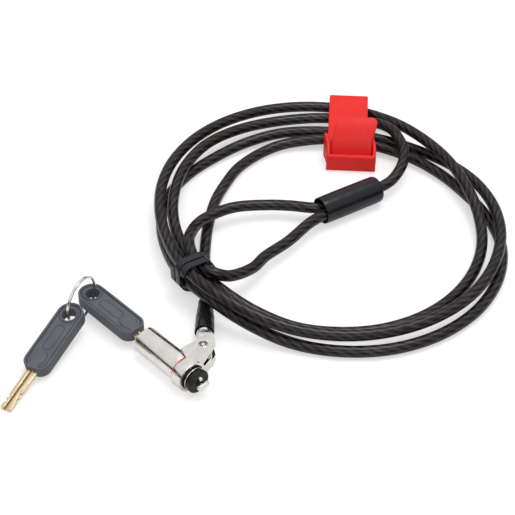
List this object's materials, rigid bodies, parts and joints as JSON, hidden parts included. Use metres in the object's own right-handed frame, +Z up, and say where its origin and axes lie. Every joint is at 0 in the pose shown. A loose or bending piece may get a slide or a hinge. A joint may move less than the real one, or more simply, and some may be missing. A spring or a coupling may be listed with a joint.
{
  "type": "laptop cable lock",
  "caption": "Key-operated laptop cable lock: a swivelling barrel with a T-bar nose on a coiled steel cable with an eye loop, a strap clip, a tie band and keys on a ring.",
  "frame": {"origin": "on the surface that the part lies on, below the middle of the footprint of the lock head, its ferrule and the keys", "axes": "+X along the barrel towards the T-bar, +Y towards the coil, +Z up"},
  "size_m": [0.1863, 0.2747, 0.0241],
  "materials": {
    "nickel_plate": "bright plated, warm tone",
    "dark_steel": "machined",
    "brass": "milled",
    "black_rubber": "matte",
    "red_silicone": "matte moulded",
    "black_sleeve": "glossy heat-shrink",
    "cable_jacket": "tinted jacket over steel strands",
    "key_plastic": "fine matte",
    "aluminium": "pressed"
  },
  "bodies": {
    "cable": {"cable_coil": "cable_jacket", "cable_lead": "cable_jacket", "cable_tail": "cable_jacket", "eye_loop": "cable_jacket", "eye_sleeve": "black_sleeve", "eye_crimp": "aluminium", "strap_buckle": "red_silicone", "strap_band": "red_silicone", "tie_band": "black_sleeve", "cable_ferrule": "nickel_plate", "ferrule_sleeve": "black_sleeve"},
    "yoke": {"yoke": "nickel_plate", "hinge_pin": "nickel_plate"},
    "barrel": {"lock_barrel": "nickel_plate", "nose_boss": "nickel_plate", "twist_peg_upper": "nickel_plate", "twist_peg_lower": "nickel_plate", "red_ring": "red_silicone", "nose_seal": "black_rubber", "nose_washer": "nickel_plate", "rubber_bumper": "black_rubber"},
    "plug": {"plug_carrier": "dark_steel", "disc_1": "brass", "disc_2": "brass", "disc_3": "brass", "disc_4": "brass", "disc_5": "brass", "disc_6": "brass", "sidebar": "dark_steel", "spindle_hub": "dark_steel", "t_bar": "nickel_plate"},
    "key_1": {"key_1_head": "key_plastic", "key_1_blade": "brass"},
    "ring": {"key_ring": "nickel_plate"},
    "key_2": {"key_2_head": "key_plastic", "key_2_blade": "brass"}
  },
  "joints": [
    {"name": "yoke_pivot", "type": "hinge", "parent": "cable", "child": "yoke", "pos_m": [0.02725, 0.02718, 0.0066], "axis": [0, 0, 1], "range_deg": [-20, 55]},
    {"name": "barrel_swivel", "type": "hinge", "parent": "yoke", "child": "barrel", "pos_m": [0.00225, 0.01448, 0.0066], "axis": [1, 0, 0], "range_deg": [-90, 90]},
    {"name": "plug_turn", "type": "hinge", "parent": "barrel", "child": "plug", "pos_m": [0.00225, 0.01448, 0.0066], "axis": [-1, 0, 0], "range_deg": [0, 90]},
    {"name": "key_slide", "type": "slide", "parent": "plug", "child": "key_1", "axis": [-1, 0, 0], "range_m": [0, 0.022]},
    {"name": "ring_swing", "type": "hinge", "parent": "key_1", "child": "ring", "pos_m": [-0.03495, 0.01448, 0.0066], "axis": [0, 0, 1], "range_deg": [-20, 15]},
    {"name": "key_2_swing", "type": "hinge", "parent": "ring", "child": "key_2", "pos_m": [-0.02925, -0.00322, 0.0093], "axis": [0, 0, 1], "range_deg": [-20, 20]}
  ]
}
